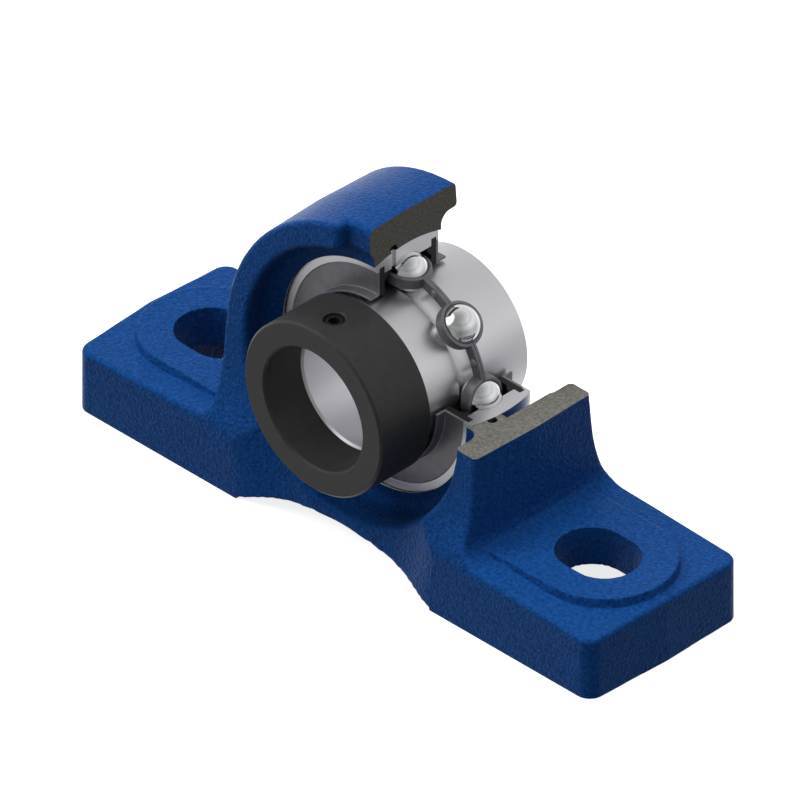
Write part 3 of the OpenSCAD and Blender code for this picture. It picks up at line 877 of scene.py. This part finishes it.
# Seals: an angle of pressed sheet, with the rubber and its lip moulded on behind it
PLATE_BORE_R = 20.76
PLATE_RIM_R = 27.22
PLATE_SHEET = 0.6
PLATE_REACH = 12.0
PLATE_FACE = SEAL_STEP_Y + PLATE_SHEET
RUBBER_RIM_R = 28.17
RUBBER_FACE = 8.98
RUBBER_BACK = 7.42
RIB_R = 26.19
RIB_WIDTH = 0.8
RIB_BACK = 6.19
LIP_R = 20.26
LIP_BACK = 7.8
for end, side in (("front", -1), ("back", 1)):
    plate = [(PLATE_BORE_R, SEAL_STEP_Y, 0.1), (PLATE_RIM_R, SEAL_STEP_Y, 0.1),
             (PLATE_RIM_R, PLATE_FACE, 0.15), (PLATE_BORE_R + PLATE_SHEET, PLATE_FACE, 0.3),
             (PLATE_BORE_R + PLATE_SHEET, PLATE_REACH, 0.2), (PLATE_BORE_R, PLATE_REACH, 0.2)]
    piece = turned(
        f"{end}_seal_pressing", [(r, side * y) for r, y in rounded(plate)], CUT_START, CUT_SWEEP)
    settle_normals(piece)
    finish_piece(piece, PLATE_STEEL, "insert", "seal_plate_steel", f"{end}_seal_plate")
    rubber = [(LIP_R, LIP_BACK, 0.1), (PLATE_BORE_R, RUBBER_FACE, 0.1),
              (RUBBER_RIM_R, RUBBER_FACE, 0.1), (RUBBER_RIM_R, RUBBER_BACK, 0.2),
              (RIB_R, RUBBER_BACK, 0.2), (RIB_R, RIB_BACK, 0.15),
              (RIB_R - RIB_WIDTH, RIB_BACK, 0.15), (RIB_R - 3 * RIB_WIDTH, RUBBER_BACK, 0.3),
              (PLATE_BORE_R + 0.2, RUBBER_BACK, 0.2)]
    piece = turned(
        f"{end}_seal_rubber", [(r, side * y) for r, y in rounded(rubber)], CUT_START, CUT_SWEEP)
    settle_normals(piece)
    finish_piece(piece, RUBBER, "insert", "seal_rubber", f"{end}_seal_lip")

# Locking collar and its set screw
COLLAR_R = 21.85
COLLAR_FRONT = -30.3
COLLAR_BACK = -14.2
COLLAR_BORE = 15.45
COLLAR_STEP = -18.7
COLLAR_CHAMFER = 0.5
ECCENTRIC_GAP = 0.05
SCREW_Y = -23.45
SCREW_HOLE_R = 2.55
SINK_R = 3.4
SINK_DEPTH = 0.35
shell = rounded([
    (COLLAR_BORE, COLLAR_STEP, 0), (COLLAR_BORE, COLLAR_FRONT + COLLAR_CHAMFER, 0.1),
    (COLLAR_BORE + COLLAR_CHAMFER, COLLAR_FRONT, 0.1),
    (COLLAR_R - COLLAR_CHAMFER, COLLAR_FRONT, EDGE_R),
    (COLLAR_R, COLLAR_FRONT + COLLAR_CHAMFER, EDGE_R),
    (COLLAR_R, COLLAR_BACK - COLLAR_CHAMFER, EDGE_R),
    (COLLAR_R - COLLAR_CHAMFER, COLLAR_BACK, EDGE_R)])
profile = [(r, y, 0, 0) for r, y in shell]
profile += [(ECCENTRIC_R + ECCENTRIC_GAP, COLLAR_BACK, 0, ECCENTRIC),
            (ECCENTRIC_R + ECCENTRIC_GAP, COLLAR_STEP, 0, ECCENTRIC)]
collar = turned("locking_collar", profile)
screw_hole = [
    (SCREW_HOLE_R, 12), (SCREW_HOLE_R, COLLAR_R - SINK_DEPTH), (SINK_R, COLLAR_R + 0.5)]
cut_away(collar, upright("hole_cutter", screw_hole, (0, SCREW_Y)))
smooth(collar, TURNED_SHARP)
settle_normals(collar)
finish_piece(collar, COLLAR_STEEL, "sleeve", "collar_black_oxide", "collar")

SCREW_TOP = 21.15
SCREW_FOOT = 15.65
SCREW_R = 2.45
SCREW_CHAMFER = 0.45
CUP_R = 0.9
CUP_DEPTH = 0.4
POINT_R = 1.5
POINT_H = 0.8
SOCKET_R = 1.443
SOCKET_FLOOR = 18.75
screw = upright("collar_set_screw", [
    (CUP_R, SCREW_FOOT + CUP_DEPTH), (1.2, SCREW_FOOT), (POINT_R, SCREW_FOOT),
    (SCREW_R, SCREW_FOOT + POINT_H), (SCREW_R, SCREW_TOP - SCREW_CHAMFER),
    (SCREW_R - SCREW_CHAMFER, SCREW_TOP)], (0, SCREW_Y))
socket = [(SOCKET_R, SOCKET_FLOOR), (SOCKET_R, 25)]
cut_away(screw, upright("socket_cutter", socket, (0, SCREW_Y), steps=6))
smooth(screw, TURNED_SHARP)
finish_piece(screw, SCREW_STEEL, "sleeve", "screw_black_oxide", "set_screw")

# Floor: white paper that glows a little, so that shadows on it stay faint
FLOOR_SIZE = 6
FLOOR_DROP = 0.0002
bpy.ops.mesh.primitive_plane_add(size=FLOOR_SIZE, location=(0, 0, -FLOOR_DROP))
floor = bpy.context.object
floor.name = "floor"
paper, _, _, _ = new_material(
    "white_paper", Roughness=0.9, Base_Color=(0.9, 0.9, 0.9, 1.0),
    Emission_Color=(1.0, 1.0, 1.0, 1.0), Emission_Strength=0.8)
floor.data.materials.append(paper)
floor.visible_diffuse = False
floor.visible_glossy = False

# Studio: dim all round and dimmer from below. What surfaces mirror is a room of its own.
world = bpy.data.worlds.new("studio")
bpy.context.scene.world = world
world.use_nodes = True
sky = world.node_tree
direction = add_node(sky, "ShaderNodeTexCoord").outputs["Generated"]
heading = add_node(sky, "ShaderNodeSeparateXYZ", [("Vector", direction)]).outputs
room = add_node(sky, "ShaderNodeMapRange", [
    ("Value", heading["Z"]), ("From Min", -0.3), ("From Max", 0.3),
    ("To Min", 0.1), ("To Max", 0.36)])
# Bands from the horizon to overhead: (height, level)
boxes = add_node(sky, "ShaderNodeValToRGB", [("Fac", heading["Z"])])
bands = (
    (0.0, 0.7), (0.15, 0.75), (0.35, 0.85), (0.55, 0.65), (0.7, 0.75), (0.85, 0.6), (1.0, 0.45))
for k, (at, level) in enumerate(bands):
    stop = boxes.color_ramp.elements[k] if k < 2 else boxes.color_ramp.elements.new(at)
    stop.position, stop.color = at, (level, level, level, 1)
# The room is paler behind the object than in front, and its ground paler on the left
backdrop = add_node(sky, "ShaderNodeMapRange", [
    ("Value", heading["Y"]), ("From Min", -0.6), ("From Max", 0.3),
    ("To Min", 0.4), ("To Max", 1.0)])
ground = add_node(sky, "ShaderNodeMapRange", [
    ("Value", heading["X"]), ("From Min", -0.6), ("From Max", 0.6),
    ("To Min", 1.4), ("To Max", 0.5)])
horizon = add_node(sky, "ShaderNodeMapRange", [
    ("Value", heading["Z"]), ("From Min", -0.1), ("From Max", 0.1),
    ("To Min", ground.outputs["Result"]), ("To Max", boxes.outputs["Color"])])
# One round soft box, up on the left in front: its edge fades between these two cosines
aligned = add_node(sky, "ShaderNodeVectorMath", [
    (0, direction), (1, Vector((-1, -1, 1)).normalized())], operation="DOT_PRODUCT")
soft_box = add_node(sky, "ShaderNodeMapRange", [
    ("Value", aligned.outputs["Value"]), ("From Min", 0.84), ("From Max", 0.92), ("To Max", 1.1)])
shown = add_node(sky, "ShaderNodeMath", [
    (0, horizon.outputs["Result"]), (1, backdrop.outputs["Result"]),
    (2, soft_box.outputs["Result"])], operation="MULTIPLY_ADD")
ray = add_node(sky, "ShaderNodeLightPath").outputs
level = add_node(sky, "ShaderNodeMapRange", [
    ("Value", ray["Is Glossy Ray"]), ("To Min", room.outputs["Result"]),
    ("To Max", shown.outputs["Value"])])
pale = add_node(sky, "ShaderNodeMath", [
    (0, level.outputs["Result"]), (1, ray["Is Camera Ray"])], operation="MAXIMUM")
sky.links.new(pale.outputs["Value"], sky.nodes["Background"].inputs["Color"])

# Lamps light surfaces but aren't mirrored: (name, power, spread in degrees, direction towards it)
for name, power, spread, towards in (("key_light", 1.85, 45, (-0.12, -0.06, 1)),
                                     ("fill_light", 0.8, 24, (-1, -1, 1))):
    lamp = bpy.data.lights.new(name, "SUN")
    lamp.energy = power
    lamp.angle = math.radians(spread)
    light = bpy.data.objects.new(name, lamp)
    light.rotation_euler = Vector(towards).to_track_quat("Z", "Y").to_euler()
    light.visible_glossy = False
    bpy.context.scene.collection.objects.link(light)

# Camera: a true isometric view, as in the picture. It is 4.45 pixels to a millimetre.
VIEW_WIDTH = 179.78
VIEW_CENTRE = (-1.26, -1.26, 30.5)
VIEW_DISTANCE = 1200
lens = bpy.data.cameras.new("camera")
lens.type = "ORTHO"
lens.ortho_scale = VIEW_WIDTH * MM
camera = bpy.data.objects.new("camera", lens)
sight = Vector((1, -1, 1)).normalized()
camera.location = (Vector(VIEW_CENTRE) + sight * VIEW_DISTANCE) * MM
camera.rotation_euler = sight.to_track_quat("Z", "Y").to_euler()
bpy.context.scene.collection.objects.link(camera)
bpy.context.scene.camera = camera
bpy.context.scene.view_settings.view_transform = "Standard"
